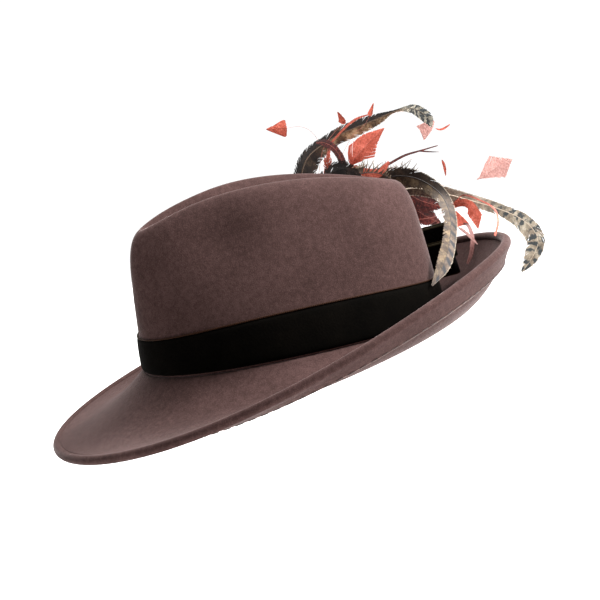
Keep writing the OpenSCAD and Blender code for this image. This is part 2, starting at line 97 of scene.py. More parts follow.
HEM_GAP = 0.2
HEM_DROP = FELT / 2 + HEM_GAP / 2
BAND_FOOT = 1.1


def sin_deg(a):
    return np.sin(np.radians(a))


def cos_deg(a):
    return np.cos(np.radians(a))


def stack(x, y, z):
    return np.stack(np.broadcast_arrays(x, y, z), -1)


def unit(v):
    v = np.asarray(v, float)
    return v / np.linalg.norm(v, axis=-1, keepdims=True)


# ---------- Crown surface; angle a is 0 at the front, 90 at the wearer's left, 180 at the back ----------
def base_point(a, inset=0.0):
    return stack(
        (HEAD_HALF_WIDTH - inset) * sin_deg(a) * (1 + 0.02 * cos_deg(a)),
        -(HEAD_HALF_LENGTH - inset) * cos_deg(a) + HEADLINE_SHIFT,
        HEADLINE_RISE * sin_deg(a) ** 2,
    )


def ridge_level(y):
    t = (y - RIDGE_SHIFT) / RIDGE_HALF_LENGTH
    return RIDGE_HEIGHT + RIDGE_SLOPE * t + RIDGE_HUMP * t * t + RIDGE_CURL * t**3


def ridge_point(a, inset=0.0):
    y = -(RIDGE_HALF_LENGTH - inset) * cos_deg(a) + RIDGE_SHIFT
    x = (RIDGE_HALF_WIDTH - inset) * sin_deg(a) * (1 - RIDGE_TEARDROP * cos_deg(a))
    return stack(x, y, ridge_level(y) - inset)


def pinch(y, level):
    along = np.exp(-(((y - PINCH_CENTRE) / PINCH_HALF_LENGTH) ** 2))
    return PINCH_DEPTH * along * np.exp(-(((level - PINCH_LEVEL) / PINCH_HALF_HEIGHT) ** 2))


def wall_point(a, t, inset=0.0):
    a, t = np.broadcast_arrays(np.asarray(a, float), np.asarray(t, float))
    low = base_point(a, inset) + np.array([0, 0, CROWN_LIFT])
    p = low + (ridge_point(a, inset) - low) * t[..., None]
    out = WALL_BULGE * sin_deg(180 * t)
    press = pinch(p[..., 1], t) * sin_deg(a)
    return stack(p[..., 0] + out * sin_deg(a) - press, p[..., 1] - out * cos_deg(a), p[..., 2])


def top_point(a, v, inset=0.0):
    a, v = np.broadcast_arrays(np.asarray(a, float), np.asarray(v, float))
    r = ridge_point(a, inset)
    y = r[..., 1] + (-0.62 * RIDGE_HALF_LENGTH * cos_deg(a) + RIDGE_SHIFT - r[..., 1]) * v
    depth = DENT_DEPTH * (1 - 0.5 * ((y - RIDGE_SHIFT) / RIDGE_HALF_LENGTH) ** 2)
    press = pinch(y, 1) * sin_deg(a) * (1 - v)
    return stack(r[..., 0] * (1 - v) - press, y, ridge_level(y) - inset - depth * sin_deg(90 * v) ** 2)


def ridge_round(a, u, inset=0.0):
    a, u = np.broadcast_arrays(np.asarray(a, float), np.asarray(u, float))
    start = wall_point(a, 1 - RIDGE_ROUNDING, inset)
    end = top_point(a, RIDGE_ROUNDING, inset)
    r = ridge_point(a, inset)
    peak = r - stack(pinch(r[..., 1], 1) * sin_deg(a), 0, 0)
    u = u[..., None]
    return (1 - u) ** 2 * start + 2 * u * (1 - u) * peak + u * u * end


# ---------- Brim surface ----------
def outward(a):
    t = base_point(a + 0.5) - base_point(a - 0.5)
    return unit(stack(t[..., 1], -t[..., 0], 0))


def slope_at_crown(a):
    return -26.5 - 29.5 * cos_deg(a) + 14 * cos_deg(2 * a) + 2 * sin_deg(a)


def slope_at_edge(a):
    return (35.5 - 40 * cos_deg(a) - 11.5 * cos_deg(2 * a) + 1.2 * cos_deg(3 * a)
            + 12 * sin_deg(a) - 4.5 * sin_deg(2 * a))


def width_at(a):
    return BRIM_WIDTH + BRIM_FRONT_EXTRA * cos_deg(a) + 3.5 * sin_deg(a)


def turn_at(a):
    k = slope_at_edge(a) - slope_at_crown(a)
    return np.where(np.abs(k) < 0.1, 0.1, k)


def on_brim(a, t, up, forth=0.0):
    """A point of the brim at share t of its width, raised along the surface's normal and moved outwards."""
    s0, k = slope_at_crown(a), turn_at(a)
    r = width_at(a) * 180 / (math.pi * k)
    out = r * (sin_deg(s0 + k * t) - sin_deg(s0))
    rise = r * (cos_deg(s0) - cos_deg(s0 + k * t))
    s = s0 + k * t
    o = outward(a)
    middle = base_point(a) + o * out[..., None] + stack(0, 0, rise)
    normal = -o * sin_deg(s)[..., None] + stack(0, 0, cos_deg(s))
    along = o * cos_deg(s)[..., None] + stack(0, 0, sin_deg(s))
    return middle + normal * up + along * forth


# ---------- Mesh making ----------
RING_COLUMNS = 360


def grid_faces(rows, columns, wrap_rows=False):
    """Faces between closed loops of points; the last loop joins the first where the rows wrap."""
    faces = []
    for i in range(rows if wrap_rows else rows - 1):
        for j in range(columns):
            a = i * columns + j
            b = i * columns + (j + 1) % columns
            up = ((i + 1) % rows - i) * columns
            faces.append((a, b, b + up, a + up))
    return faces


def around(count):
    """Angles spread evenly round a circle, in radians."""
    return np.radians(np.arange(count) * 360 / count)


def tube_faces(rows, columns, inward=False):
    """Faces of a tube with a cap at each end, for loops that run either way round."""
    first, last = list(range(columns)), [(rows - 1) * columns + k for k in range(columns)]
    caps = [first, last[::-1]] if inward else [first[::-1], last]
    return grid_faces(rows, columns) + [tuple(cap) for cap in caps]


def add_piece(name, points, faces, materials, replaces, slot, body="hat", uv=None, indices=None):
    """A smooth mesh piece from points in millimetres, on a body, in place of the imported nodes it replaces."""
    mesh = bpy.data.meshes.new(name)
    mesh.from_pydata((np.asarray(points) * MM).tolist(), [], faces)
    for material in materials:
        mesh.materials.append(material)
    if indices is not None:
        mesh.polygons.foreach_set("material_index", indices)
    if uv is not None:
        layer = mesh.uv_layers.new(name="vane")
        corners = np.zeros(len(mesh.loops), dtype=np.int32)
        mesh.loops.foreach_get("vertex_index", corners)
        layer.data.foreach_set("uv", np.asarray(uv, float)[corners].ravel())
    mesh.polygons.foreach_set("use_smooth", [True] * len(mesh.polygons))
    mesh.validate()
    mesh.update()
    piece = bpy.data.objects.new(name, mesh)
    bpy.context.collection.objects.link(piece)
    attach(piece, body)
    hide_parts(*replaces)
    return piece


def add_ring(name, section, materials, **options):
    """A closed band round the hat: section(a) gives the loops of its closed outline at the angles a."""
    loops = section(np.arange(RING_COLUMNS) * 360 / RING_COLUMNS)
    points = np.stack(loops, 0).reshape(-1, 3)
    return add_piece(name, points, grid_faces(len(loops), RING_COLUMNS, wrap_rows=True), materials, **options)


# ---------- Materials ----------
class Nodes:
    """A short way to write the node tree of a new material or world."""

    def __init__(self, name, kind="materials"):
        self.owner = getattr(bpy.data, kind).new(name)
        self.owner.use_nodes = True
        self.tree = self.owner.node_tree
        self.shader = self.tree.nodes.get("Principled BSDF")

    def add(self, kind, inputs=None, **settings):
        node = self.tree.nodes.new(kind)
        for key, value in settings.items():
            setattr(node, key, value)
        for key, value in (inputs or {}).items():
            if isinstance(value, bpy.types.NodeSocket):
                self.tree.links.new(value, node.inputs[key])
            else:
                node.inputs[key].default_value = value
        return node

    def position(self):
        return self.add("ShaderNodeTexCoord").outputs["Object"]

    def noise(self, scale, detail=2.0, roughness=0.5):
        inputs = {"Scale": scale, "Detail": detail, "Roughness": roughness, "Vector": self.position()}
        return self.add("ShaderNodeTexNoise", inputs).outputs["Fac"]

    def vane_map(self):
        """The two coordinates of a piece's own map, along and across."""
        uv = self.add("ShaderNodeUVMap", uv_map="vane").outputs["UV"]
        parts = self.add("ShaderNodeSeparateXYZ", {"Vector": uv})
        return parts.outputs["X"], parts.outputs["Y"]

    def math(self, operation, a, b=0.0, clamp=False):
        node = self.add("ShaderNodeMath", {0: a, 1: b}, operation=operation)
        node.use_clamp = clamp
        return node.outputs[0]

    def times(self, a, b):
        return self.math("MULTIPLY", a, b)

    def plus(self, a, b):
        return self.math("ADD", a, b)

    def ramp(self, value, stops):
        node = self.add("ShaderNodeValToRGB", {"Fac": value})
        ramp = node.color_ramp
        while len(ramp.elements) < len(stops):
            ramp.elements.new(0.5)
        for element, (place, colour) in zip(ramp.elements, stops):
            element.position = place
            element.color = (*colour, 1)
        return node.outputs["Color"]

    def blend(self, a, b, share):
        """Share of a value b in a."""
        return self.plus(self.times(a, 1 - share), self.times(b, share))

    def mix(self, factor, a, b):
        node = self.add("ShaderNodeMix", data_type="RGBA")
        for socket, value in ((node.inputs[0], factor), (node.inputs[6], a), (node.inputs[7], b)):
            if isinstance(value, bpy.types.NodeSocket):
                self.tree.links.new(value, socket)
            elif isinstance(value, tuple):
                socket.default_value = (*value, 1)
            else:
                socket.default_value = value
        return node.outputs[2]

    def bump(self, height, strength, distance, normal=None):
        inputs = {"Height": height, "Strength": strength, "Distance": distance}
        if normal is not None:
            inputs["Normal"] = normal
        return self.add("ShaderNodeBump", inputs).outputs["Normal"]

    def finish(self, colour, roughness, normal=None, sheen=0.0, sheen_tint=None, sheen_roughness=0.5,
               specular=0.5):
        for name, value in (("Base Color", colour), ("Roughness", roughness), ("Normal", normal)):
            if value is None:
                continue
            if isinstance(value, bpy.types.NodeSocket):
                self.tree.links.new(value, self.shader.inputs[name])
            else:
                self.shader.inputs[name].default_value = value
        self.shader.inputs["Sheen Weight"].default_value = sheen
        self.shader.inputs["Sheen Roughness"].default_value = sheen_roughness
        if sheen_tint:
            self.shader.inputs["Sheen Tint"].default_value = (*sheen_tint, 1)
        self.shader.inputs["Specular IOR Level"].default_value = specular
        return self.owner


BLACK, WHITE = (0, 0, 0), (1, 1, 1)
# the scales of the noises are in waves a metre
PILE_SCALE = 900
FELT_CLOUD_SCALE, FELT_MOTTLE_SCALE, FELT_FIBRE_SCALE = 16, 300, 1700


def scaled(colour, factor):
    return tuple(factor * c for c in colour)


def felt_material(name, dark, middle, light):
    """Brushed fur felt: faint clouds of colour, a fine mottle, a short nap and scattered paler fibres."""
    n = Nodes(name)
    cloud = n.noise(FELT_CLOUD_SCALE, 3, 0.55)
    mottle = n.noise(FELT_MOTTLE_SCALE, 4, 0.65)
    fibre = n.noise(FELT_FIBRE_SCALE, 3, 0.6)
    shade = n.plus(n.times(cloud, 0.25), n.times(mottle, 0.30))
    shade = n.plus(shade, n.times(fibre, 0.45))
    colour = n.ramp(shade, [(0.40, dark), (0.5, middle), (0.60, light)])
    pale = n.ramp(fibre, [(0.62, BLACK), (0.76, WHITE)])
    colour = n.mix(n.times(pale, 0.22), colour, scaled(light, 2.4))
    normal = n.bump(fibre, 0.5, 0.0003, n.bump(mottle, 0.35, 0.0005))
    return n.finish(colour, 0.95, normal, sheen=0.22, sheen_tint=(1.0, 0.86, 0.84), sheen_roughness=0.25,
                    specular=0.08)


def velvet_material(name, colour):
    """Short dense pile: nearly black, with a soft paler bloom where it turns away."""
    n = Nodes(name)
    pile = n.noise(PILE_SCALE, 3, 0.6)
    crush = n.noise(60, 3, 0.55)
    stops = [(0.35, scaled(colour, 0.45)), (0.5, colour), (0.66, scaled(colour, 1.7))]
    tint = n.ramp(n.blend(pile, crush, 0.5), stops)
    normal = n.bump(pile, 0.5, 0.0004, n.bump(crush, 0.3, 0.0012))
    return n.finish(tint, 0.9, normal, sheen=0.02, sheen_tint=(0.55, 0.42, 0.36), sheen_roughness=0.35,
                    specular=0.02)


def ribbon_material(name, colour, edge_colour):
    """Velvet ribbon with a woven selvedge along both edges."""
    n = Nodes(name)
    across = n.vane_map()[1]
    pile = n.noise(PILE_SCALE, 3, 0.6)
    tint = n.ramp(pile, [(0.35, scaled(colour, 0.5)), (0.65, scaled(colour, 1.6))])
    edge = n.ramp(n.math("ABSOLUTE", across), [(0.90, BLACK), (0.94, WHITE)])
    tint = n.mix(edge, tint, edge_colour)
    return n.finish(tint, 0.85, n.bump(pile, 0.5, 0.0004), sheen=0.02, sheen_tint=(0.5, 0.5, 0.45),
                    sheen_roughness=0.35, specular=0.04)


def ribbed_material(name, colour, ribs_per_metre, sheen=0.15, specular=0.3):
    """Petersham or braid: fine ribs across the ribbon."""
    n = Nodes(name)
    phase = n.times(n.vane_map()[0], ribs_per_metre * 2 * math.pi)
    rib = n.plus(n.times(n.math("SINE", phase), 0.5), 0.5)
    speck = n.noise(1800, 2, 0.6)
    stops = [(0.2, scaled(colour, 0.5)), (0.55, colour), (0.85, scaled(colour, 1.5))]
    tint = n.ramp(n.blend(rib, speck, 0.45), stops)
    normal = n.bump(rib, 0.6, 0.0003, n.bump(speck, 0.3, 0.0001))
    return n.finish(tint, 0.7, normal, sheen=sheen, specular=specular)


def thread_material(name, colour):
    n = Nodes(name)
    twist = n.noise(3000, 2, 0.5)
    tint = n.ramp(twist, [(0.35, scaled(colour, 0.7)), (0.65, scaled(colour, 1.25))])
    return n.finish(tint, 0.7, n.bump(twist, 0.5, 0.0002), sheen=0.2, specular=0.3)


def wire_material(name):
    n = Nodes(name)
    drawn = n.noise(1200, 2, 0.5)
    tint = n.ramp(drawn, [(0.3, (0.25, 0.25, 0.26)), (0.7, (0.45, 0.45, 0.46))])
    n.shader.inputs["Metallic"].default_value = 1.0
    return n.finish(tint, n.plus(n.times(drawn, 0.3), 0.25), n.bump(drawn, 0.2, 0.0001))


def tones(*colours):
    """Stops of a ramp for the middle of a noise's range."""
    return list(zip((0.36, 0.5, 0.64), colours))


def barb_material(name, upper, lower=None, bars=None, bar_colour=BLACK, bar_share=0.5, slant=0.0,
                  bar_strength=0.9, wobble=0.0, broken=0.0, bars_from=None, bars_upper_only=False, edge=None,
                  root=None, root_gap=0.55, tip=None, streak=0.35):
    """A feather's vane. Its map gives centimetres along the quill and the place across, -1 to 1.

    Upper and lower are colour ramps for the two sides of the quill. Root and tip are (start, end, ramp) in
    centimetres. There are so many bars a centimetre, and edge is (start across, colour, on both sides).
    """
    n = Nodes(name)
    along, across = n.vane_map()
    out = n.math("ABSOLUTE", across)
    below = n.math("LESS_THAN", across, 0.0)
    fine = n.noise(900, 3, 0.65)
    coarse = n.noise(130, 3, 0.6)
    value = n.blend(coarse, fine, streak)
    colour = n.ramp(value, upper)
    if lower:
        colour = n.mix(below, colour, n.ramp(value, lower))

    def zone(start, end):
        return n.math("DIVIDE", n.math("SUBTRACT", along, start), end - start, clamp=True)

    if tip:
        start, end, stops = tip
        colour = n.mix(zone(start, end), colour, n.ramp(value, stops))
    if bars:
        shifted = n.plus(along, n.times(out, slant))
        if broken:
            # the bars of the two sides don't meet at the quill
            shifted = n.plus(shifted, n.times(below, 0.45 / bars))
        rough_edge = n.times(n.math("SUBTRACT", n.noise(150, 3, 0.6), 0.5), wobble)
        phase = n.math("FRACT", n.times(n.plus(shifted, rough_edge), bars))
        wave = n.math("ABSOLUTE", n.math("SUBTRACT", phase, 0.5))
        mask = n.ramp(wave, [(0.5 * bar_share - 0.05, WHITE), (0.5 * bar_share + 0.05, BLACK)])
        mask = n.times(mask, bar_strength)
        if broken:
            gaps = n.ramp(n.noise(140, 2, 0.5), [(broken - 0.05, BLACK), (broken + 0.05, WHITE)])
            mask = n.times(mask, gaps)
        if bars_from:
            mask = n.times(mask, zone(*bars_from))
        if bars_upper_only:
            mask = n.times(mask, n.math("SUBTRACT", 1.0, n.times(below, 0.75)))
        colour = n.mix(mask, colour, bar_colour)
    if root:
        start, end, stops = root
        fade = n.math("SUBTRACT", 1.0, zone(start, end))
        if lower:
            fade = n.times(fade, n.math("SUBTRACT", 1.0, n.times(below, root_gap)))
        colour = n.mix(fade, colour, n.ramp(value, stops))
    if edge:
        start, tint, low_too = edge
        mask = n.ramp(out, [(start, BLACK), (min(1.0, start + 0.1), WHITE)])
        if not low_too:
            mask = n.times(mask, n.math("SUBTRACT", 1.0, below))
        colour = n.mix(mask, colour, tint)
    normal = n.bump(fine, 0.4, 0.0003)
    return n.finish(colour, 0.62, normal, sheen=0.12, sheen_roughness=0.4, specular=0.3)


felt_top = felt_material("felt", (0.037, 0.0195, 0.0177), (0.056, 0.0300, 0.0272), (0.082, 0.0455, 0.0422))
# a paler copy of the felt for the hem's lip: a painted highlight where the lip catches light
felt_lip_highlight = felt_material("felt_lip_highlight", (0.10, 0.066, 0.060), (0.16, 0.112, 0.100), (0.24, 0.175, 0.155))
velvet = velvet_material("velvet", (0.0016, 0.0012, 0.0008))
petersham = ribbed_material("petersham", (0.020, 0.014, 0.013), 1500)
copper = ribbed_material("copper_edge", (0.030, 0.012, 0.006), 900, 0.0, 0.06)
bow_ribbon = ribbon_material("bow_ribbon", (0.0040, 0.0034, 0.0036), (0.030, 0.024, 0.014))
felt_thread = thread_material("felt_thread", (0.065, 0.038, 0.034))
dark_thread = thread_material("dark_thread", (0.05, 0.035, 0.03))
steel = wire_material("brim_wire")

# ---------- Stage and lights; places are in metres ----------
FLOOR_DROP, FLOOR_HALF, FLOOR_GLOW = 0.30, 2.6, 0.12
WORLD_STRENGTH = 1.08
UPWARDS, BACKDROP_WAY = (0, 0, 1), (-0.956, 0.294, 0)
# grey shades against how far a direction faces each way: 0 is straight away from it and 1 straight at it
BACKDROP_SHADES = ((0.0, 0.10), (0.5, 0.13), (0.7, 0.50), (0.9, 1.0))
HORIZON_SHADES = ((0.0, 0.85), (0.56, 0.85), (0.64, 0.0))


def make_stage():
    n = Nodes("floor")
    grain = n.noise(3, 2, 0.5)
    tint = n.ramp(grain, [(0.4, scaled(WHITE, 0.93)), (0.6, scaled(WHITE, 0.95))])
    n.shader.inputs["Emission Color"].default_value = (*WHITE, 1)
    n.shader.inputs["Emission Strength"].default_value = FLOOR_GLOW
    n.finish(tint, 0.9, specular=0.0)
    mesh = bpy.data.meshes.new("floor")
    h = FLOOR_HALF
    mesh.from_pydata([(-h, -h, 0), (h, -h, 0), (h, h, 0), (-h, h, 0)], [], [(0, 1, 2, 3)])
    mesh.materials.append(n.owner)
    floor = bpy.data.objects.new("floor", mesh)
    floor.location = (0, 0, -FLOOR_DROP)
    bpy.context.collection.objects.link(floor)


def make_world():
    """A studio that is white towards the backdrop, pale from the horizon down and dim elsewhere."""
    n = Nodes("studio", "worlds")
    direction = n.add("ShaderNodeTexCoord").outputs["Generated"]
    shades = []
    for way, stops in ((BACKDROP_WAY, BACKDROP_SHADES), (UPWARDS, HORIZON_SHADES)):
        facing = n.add("ShaderNodeVectorMath", {0: direction, 1: way}, operation="DOT_PRODUCT")
        share = n.add("ShaderNodeMapRange", {"Value": facing.outputs["Value"], "From Min": -1})
        greys = [(place, scaled(WHITE, shade)) for place, shade in stops]
        shades.append(n.ramp(share.outputs["Result"], greys))
    background = n.tree.nodes["Background"]
    background.inputs["Strength"].default_value = WORLD_STRENGTH
    n.tree.links.new(n.math("MAXIMUM", *shades), background.inputs["Color"])
    bpy.context.scene.world = n.owner


def area_light(name, place, power, size, target=(0, 0, 0.03)):
    data = bpy.data.lights.new(name, "AREA")
    data.shape = "DISK"
    data.size = size
    data.energy = power
    light = bpy.data.objects.new(name, data)
    place = Vector(place)
    light.location = place
    light.rotation_euler = (place - Vector(target)).to_track_quat("Z", "Y").to_euler()
    bpy.context.collection.objects.link(light)


make_stage()
make_world()
area_light("key", (0.5, 1.5, 1.0), 66, 0.8)
area_light("top", (-0.1, 0.5, 1.55), 38, 1.0)
area_light("backdrop", (-1.6, 0.5, 1.8), 110, 2.5, target=(-1.6, 0.5, 0))
bpy.context.scene.view_settings.view_transform = "Standard"

# ---------- Crown ----------
CROWN_COLUMNS = 288
CROWN_ROWS = (56, 16, 34)


def crown_skin(inset):
    """One skin of the felt, from the headline up the wall, over the ridge and down to the dent's seam."""
    wall_rows, round_rows, top_rows = CROWN_ROWS
    a = np.arange(CROWN_COLUMNS) * 360 / CROWN_COLUMNS
    rows = [wall_point(a, t, inset) for t in np.linspace(0, 1 - RIDGE_ROUNDING, wall_rows)]
    rows += [ridge_round(a, u, inset) for u in np.linspace(0, 1, round_rows + 2)[1:-1]]
    rows += [top_point(a, v, inset) for v in np.linspace(RIDGE_ROUNDING, 1, top_rows)]
    return np.stack(rows)


def make_crown():
    skins = np.concatenate([crown_skin(0), crown_skin(FELT)[::-1]])
    rows = len(skins)
    # no faces between the skins at the seam, where each skin closes on itself
    faces = grid_faces(rows, CROWN_COLUMNS, wrap_rows=True)
    faces = [face for face in faces if face[0] // CROWN_COLUMNS != rows // 2 - 1]
    crown = add_piece("crown_felt", skins.reshape(-1, 3), faces, [felt_top], ["crown"], "felt")
    work = bmesh.new()
    work.from_mesh(crown.data)
    bmesh.ops.remove_doubles(work, verts=work.verts, dist=1e-6)
    bmesh.ops.recalc_face_normals(work, faces=work.faces)
    work.to_mesh(crown.data)
    work.free()


make_crown()


# ---------- Brim ----------
FACE_LOOPS, ROLL_LOOPS, HEM_LOOPS, LIP_LOOPS, UNDER_LOOPS = 46, 30, 7, 4, 34
FACE_END, ROLL_START = 3, 5  # millimetres in from the edge
ROLL_FROM, ROLL_TO = 152, -95
HEM_LIP = 0.3
HEM_LIP_FROM, HEM_LIP_CREST = 0.88, 0.94
HEM_TUCK = 0.012


def brim_section(a):
    """The brim's closed section: top face, groove, rolled edge, folded hem and underside."""
    face_end = 1 - FACE_END / width_at(a)
    roll_start = 1 - ROLL_START / width_at(a)
    hem_start = 1 - HEM_WIDTH / width_at(a)
    under = -1.5 * FELT - HEM_GAP

    def on_hem(t, up):
        return on_brim(a, roll_start + (hem_start - roll_start) * t, up)

    loops = [on_brim(a, face_end * (1 - (1 - t) ** 1.6), FELT / 2) for t in np.linspace(0, 1, FACE_LOOPS)]
    for g in np.linspace(ROLL_FROM, ROLL_TO, ROLL_LOOPS):
        loops.append(on_brim(a, 1 + 0 * a, -HEM_DROP + ROLL_RADIUS * sin_deg(g), ROLL_RADIUS * cos_deg(g)))
    loops += [on_hem(t, under) for t in np.linspace(0, HEM_LIP_FROM, HEM_LOOPS)]
    loops.append(on_hem(HEM_LIP_CREST, under - HEM_LIP))
    loops.append(on_brim(a, hem_start, under + HEM_LIP))
    loops.append(on_brim(a, hem_start, -FELT / 2 - HEM_GAP - HEM_LIP))
    loops.append(on_brim(a, hem_start + HEM_TUCK, -FELT / 2 - HEM_GAP))
    loops.append(on_brim(a, hem_start + HEM_TUCK, -FELT / 2))
    loops += [on_brim(a, hem_start * t, -FELT / 2) for t in np.linspace(1, 0, UNDER_LOOPS)]
    loops += [base_point(a, FELT) + np.array([0, 0, rise]) for rise in (-FELT / 2, FELT / 2 - 0.1)]
    return loops


def brim_indices():
    """Which faces of the hem's cut lip get the paler felt, a painted highlight where the lip catches light."""
    first = FACE_LOOPS + ROLL_LOOPS + HEM_LOOPS - 1
    rows = len(brim_section(np.zeros(1)))
    return np.repeat([1 if first <= row < first + LIP_LOOPS else 0 for row in range(rows)], RING_COLUMNS)


add_ring("brim_felt", brim_section, [felt_top, felt_lip_highlight], replaces=["brim"], slot="felt",
         indices=brim_indices())


# ---------- Band, edging and head ribbon ----------
BAND_LOOPS, EDGING_LOOPS, BACK_LOOPS, HEAD_RIBBON_LOOPS = 20, 7, 5, 12
BAND_BULGE, EDGING_BULGE, EDGING_SIZE = 0.35, 0.1, 1.1
HEAD_RIBBON_FOOT, HEAD_RIBBON_THICKNESS = 0.4, 0.8
BAND_ROUND_M, HEAD_ROUND_M = 0.59, 0.56


def wall_share(height):
    return height / (RIDGE_HEIGHT - 8)


def ring_uv(rows, length):
    """Map for a ring: distance round it in metres, and the place across."""
    u = np.tile(np.arange(RING_COLUMNS) * length / RING_COLUMNS, rows)
    v = np.repeat(np.linspace(0, 1, rows), RING_COLUMNS)
    return np.stack([u, v], -1)


def strip_loops(a, low, high, thick, bulge, rows):
    """A ribbon's section against the crown's wall, with rounded edges."""
    loops = []
    for s in np.linspace(0, 1, rows):
        depth = thick * (0.25 + 0.75 * (1 - (2 * s - 1) ** 8) ** 0.5) + bulge * 4 * s * (1 - s)
        loops.append(wall_point(a, wall_share(low + (high - low) * s), -LAYER_GAP - depth))
    for s in np.linspace(1, 0, BACK_LOOPS):
        loops.append(wall_point(a, wall_share(low + (high - low) * s), -LAYER_GAP))
    return loops


def band_section(a):
    loops = strip_loops(a, BAND_FOOT, BAND_FOOT + BAND_HEIGHT, BAND_THICKNESS, BAND_BULGE, BAND_LOOPS)
    # the band is drawn up by hand, so its face puckers softly
    pucker = outward(a) * (0.12 * sin_deg(7 * a + 20) + 0.08 * sin_deg(17 * a))[..., None]
    return [p + pucker if 0 < k < BAND_LOOPS else p for k, p in enumerate(loops)]


def edging_section(a):
    low = BAND_FOOT + BAND_HEIGHT
    return strip_loops(a, low, low + EDGING_SIZE, EDGING_SIZE, EDGING_BULGE, EDGING_LOOPS)


def head_ribbon_section(a):
    loops = []
    for shares, depth in ((np.linspace(0, 1, HEAD_RIBBON_LOOPS), 0.05),
                          (np.linspace(1, 0, HEAD_RIBBON_LOOPS), HEAD_RIBBON_THICKNESS)):
        for s in shares:
            height = HEAD_RIBBON_FOOT + (HEAD_RIBBON_HEIGHT - HEAD_RIBBON_FOOT) * s
            loops.append(wall_point(a, wall_share(height), FELT + LAYER_GAP + depth))
    return loops


add_ring("band_velvet", band_section, [velvet], replaces=["hat_band"], slot="velvet")
add_ring("band_edge", edging_section, [copper], replaces=["band_edging"], slot="copper_edge",
         uv=ring_uv(EDGING_LOOPS + BACK_LOOPS, BAND_ROUND_M))
add_ring("head_ribbon_petersham", head_ribbon_section, [petersham], replaces=["head_ribbon"],
         slot="petersham", uv=ring_uv(2 * HEAD_RIBBON_LOOPS, HEAD_ROUND_M))


# ---------- Bow ----------
BOW_PLACE, BOW_HEADING, BOW_LEAN = (-58.5, 77.5, 0), 47, 10
LOOP_RADIUS, KNOT_LENGTH, KNOT_INNER, KNOT_DEPTH, KNOT_LEVEL = 3.4, 13, 1.9, 15, 22
KNOT_GAP, REAR_TILT = 0.3, 8
LOWER_LOOP_OUT = KNOT_INNER + LOOP_RADIUS
UPPER_LOOP_OUT = LOWER_LOOP_OUT + 2 * LOOP_RADIUS + 0.6
LOOP_STEPS, LOOP_BEND_STEPS, LOOP_ACROSS = 30, 13, 11
LOOP_THICKNESS, LOOP_FOOT, GATHER_LENGTH, CREASE_LENGTH = 1.1, 1.5, 20, 34
KNOT_AROUND, KNOT_ACROSS, KNOT_SQUARENESS = 56, 21, 0.55
bow_turn = Matrix.Translation(BOW_PLACE) @ Matrix.Rotation(math.radians(BOW_HEADING), 4, "Z")
bow_turn = np.array(bow_turn @ Matrix.Rotation(math.radians(BOW_LEAN), 4, "X"))


def on_bow(points):
    return points @ bow_turn[:3, :3].T + bow_turn[:3, 3]


def bow_loop(name, node, length, tilt, place, mirrored=False):
    """A ribbon that runs out from the knot, turns round and comes back, gathered at the knot."""
    run = np.linspace(0, 1, LOOP_STEPS)
    reach = length - LOOP_RADIUS
    fullness = 1 + 0.12 * np.sin(math.pi * run)
    half_gap = (LOOP_FOOT + (LOOP_RADIUS - LOOP_FOOT) * run**0.7) * fullness
    near = np.stack([run * reach, 0.4 - half_gap], -1)
    g = np.radians(np.linspace(-80, 80, LOOP_BEND_STEPS))
    bend = np.stack([reach + LOOP_RADIUS * np.cos(g), (LOOP_RADIUS - 0.1) * np.sin(g)], -1)
    path = np.concatenate([near, bend, near[::-1] * np.array([1, -1])])
    direction = unit(np.gradient(path, axis=0))
    inner_way = np.stack([-direction[:, 1], direction[:, 0]], -1)
    v = np.linspace(-1, 1, LOOP_ACROSS)
    half = BOW_RIBBON / 2 * (0.70 + 0.30 * np.clip(path[:, 0] / GATHER_LENGTH, 0, 1) ** 0.8)
    # soft creases fan out from the knot and fade towards the far end, and the ribbon cups a little
    crease = 0.35 * np.cos(v[None] * 7) * (1 - np.clip(path[:, :1] / CREASE_LENGTH, 0, 1))
    cup = 0.25 * (v[None] ** 2 - 0.4)
    skins = []
    for depth in (0.0, LOOP_THICKNESS):
        xy = path[:, None] + inner_way[:, None] * (depth + crease + cup)[..., None]
        skins.append(np.concatenate([xy, (half[:, None] * v[None])[..., None]], -1))
    loops = np.concatenate([skins[0], skins[1][:, ::-1]], 1)
    turn = np.array(Matrix.Rotation(math.radians(-tilt), 3, "Y"))
    points = loops.reshape(-1, 3) @ turn.T + np.array(place)
    if mirrored:
        points = points * np.array([-1, 1, 1])
    rows, columns = loops.shape[:2]
    uv = np.stack([np.repeat(np.linspace(0, 2 * length * MM, rows), columns),
                   np.tile(np.concatenate([v, v[::-1]]), rows)], -1)
    add_piece(name, on_bow(points), tube_faces(rows, columns), [bow_ribbon], [node], "velvet", uv=uv)


front_start = KNOT_LENGTH / 2 + KNOT_GAP
rear_start = front_start + BOW_RIBBON / 2 * math.sin(math.radians(REAR_TILT))
bow_loop("bow_rear_upper", "bow_loop_rear_upper", 60, REAR_TILT, (rear_start, UPPER_LOOP_OUT, 31))
bow_loop("bow_rear_lower", "bow_loop_rear_lower", 62, REAR_TILT, (rear_start, LOWER_LOOP_OUT, 21))
bow_loop("bow_front", "bow_loop_front", 42, 0, (front_start, LOWER_LOOP_OUT, 17), mirrored=True)


